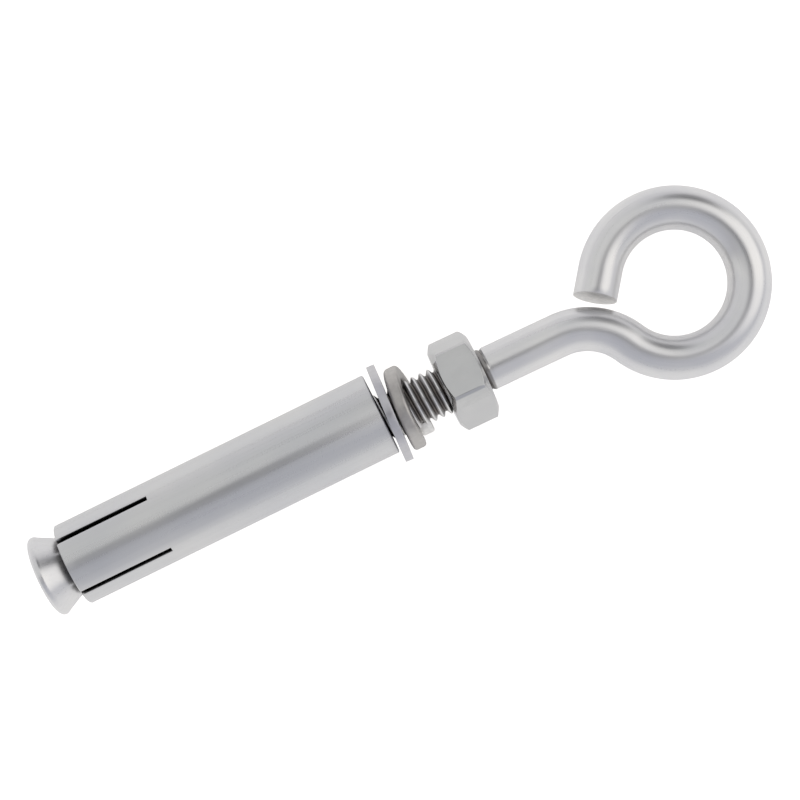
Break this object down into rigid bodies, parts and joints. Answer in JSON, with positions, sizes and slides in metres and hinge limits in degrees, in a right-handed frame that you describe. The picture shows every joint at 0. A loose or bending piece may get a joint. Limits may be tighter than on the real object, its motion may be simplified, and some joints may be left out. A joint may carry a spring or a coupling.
{
  "type": "expansion anchor eye bolt",
  "caption": "Steel sleeve anchor with a cone-ended rod bent into an open eye, held by washers and a hex nut; the cone spreads the slotted sleeve in a drilled hole.",
  "frame": {"origin": "on the sleeve's axis at its outer end, in the plane of the wall the anchor is set in", "axes": "+X along the sleeve's axis, out of the wall towards the eye; the eye lies flat in the XY plane, with the neck bending towards -Y; +Z is square to the eye"},
  "size_m": [0.0926, 0.0227, 0.012],
  "materials": {
    "bolt_steel": "satin stainless rod",
    "sleeve_steel": "satin stainless sheet",
    "washer_steel": "dull stainless",
    "spring_steel": "dull warm stainless",
    "nut_steel": "polished stainless"
  },
  "bodies": {
    "sleeve": {"sleeve_tube": "sleeve_steel"},
    "bolt": {"eye_bolt": "bolt_steel"},
    "leaf_1": {"sleeve_leaf_1": "sleeve_steel"},
    "leaf_2": {"sleeve_leaf_2": "sleeve_steel"},
    "leaf_3": {"sleeve_leaf_3": "sleeve_steel"},
    "leaf_4": {"sleeve_leaf_4": "sleeve_steel"},
    "flat_washer": {"flat_washer": "washer_steel"},
    "spring_washer": {"spring_washer": "spring_steel"},
    "nut": {"hex_nut": "nut_steel"}
  },
  "joints": [
    {"name": "nut_turn", "type": "hinge", "parent": "sleeve", "child": "nut", "pos_m": [0.01029, -0.00075, 0], "axis": [-0.9999, 0.0149, 0], "range_deg": [0, 684]},
    {"name": "bolt_draw", "type": "slide", "parent": "sleeve", "child": "bolt", "axis": [0.9999, -0.0149, 0], "range_m": [0, 0.0019]},
    {"name": "washer_slide", "type": "slide", "parent": "sleeve", "child": "flat_washer", "axis": [0.9999, -0.0149, 0], "range_m": [-0.00012, 0.0019]},
    {"name": "spring_slide", "type": "slide", "parent": "flat_washer", "child": "spring_washer", "axis": [0.9999, -0.0149, 0], "range_m": [-0.00012, 0.00085]},
    {"name": "leaf_1_spread", "type": "hinge", "parent": "sleeve", "child": "leaf_1", "pos_m": [-0.0284, -0.00017, 0.005], "axis": [0, 0.9994, 0.0349], "range_deg": [0, 5.8]},
    {"name": "leaf_2_spread", "type": "hinge", "parent": "sleeve", "child": "leaf_2", "pos_m": [-0.0284, -0.005, -0.00017], "axis": [0, -0.0349, 0.9994], "range_deg": [0, 5.8]},
    {"name": "leaf_3_spread", "type": "hinge", "parent": "sleeve", "child": "leaf_3", "pos_m": [-0.0284, 0.00017, -0.005], "axis": [0, -0.9994, -0.0349], "range_deg": [0, 5.8]},
    {"name": "leaf_4_spread", "type": "hinge", "parent": "sleeve", "child": "leaf_4", "pos_m": [-0.0284, 0.005, 0.00017], "axis": [0, 0.0349, -0.9994], "range_deg": [0, 5.8]}
  ],
  "couplings": [
    {"joint": "nut_turn", "follows": "bolt_draw", "rad_per_m": 6283.2},
    {"joint": "leaf_1_spread", "follows": "bolt_draw", "rad_per_m": 53.278},
    {"joint": "leaf_2_spread", "follows": "bolt_draw", "rad_per_m": 53.278},
    {"joint": "leaf_3_spread", "follows": "bolt_draw", "rad_per_m": 53.278},
    {"joint": "leaf_4_spread", "follows": "bolt_draw", "rad_per_m": 53.278}
  ]
}
